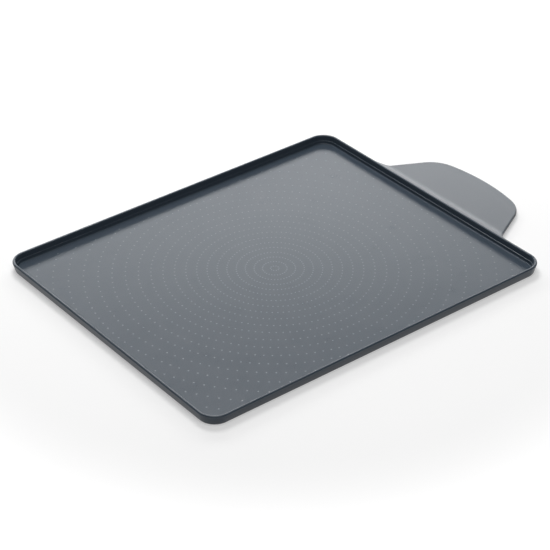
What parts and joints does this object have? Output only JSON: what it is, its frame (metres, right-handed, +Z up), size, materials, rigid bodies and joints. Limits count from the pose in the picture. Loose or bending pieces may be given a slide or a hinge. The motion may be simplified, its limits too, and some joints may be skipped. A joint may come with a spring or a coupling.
{
  "type": "silicone sponge cake mould",
  "caption": "Shallow rectangular silicone baking mould with a low stepped rim, a dotted floor and a wide flat handle tab, for a thin sponge sheet.",
  "frame": {"origin": "middle of the floor's underside, where the mould stands on an oven shelf or a table", "axes": "+X along the tray towards the handle, +Y across the tray towards its back, +Z up out of the tray"},
  "size_m": [0.425, 0.299, 0.01],
  "materials": {
    "tray_silicone": "matt moulded silicone, fine grained",
    "handle_silicone": "matt moulded silicone, fine grained"
  },
  "bodies": {
    "tray": {"wall_free_end": "tray_silicone", "wall_front": "tray_silicone", "wall_handle_end": "tray_silicone", "wall_back": "tray_silicone", "corner_back_handle": "tray_silicone", "corner_back_free": "tray_silicone", "corner_front_free": "tray_silicone", "corner_front_handle": "tray_silicone", "floor_flex_free_end": "tray_silicone", "floor_flex_front": "tray_silicone", "floor_flex_handle_end": "tray_silicone", "floor_flex_back": "tray_silicone", "handle_root": "handle_silicone"},
    "floor": {"floor_panel": "tray_silicone"},
    "handle": {"handle_tab": "handle_silicone"}
  },
  "joints": [
    {"name": "floor_push", "type": "slide", "parent": "tray", "child": "floor", "axis": [0, 0, 1], "range_m": [0, 0.01], "stiffness_N_per_m": 180},
    {"name": "handle_bend", "type": "hinge", "parent": "tray", "child": "handle", "pos_m": [0.1954, -0.0102, 0.004], "axis": [0, -1, 0], "range_deg": [-2.5, 75], "stiffness_Nm_per_rad": 0.12, "springref_deg": 2.29}
  ]
}
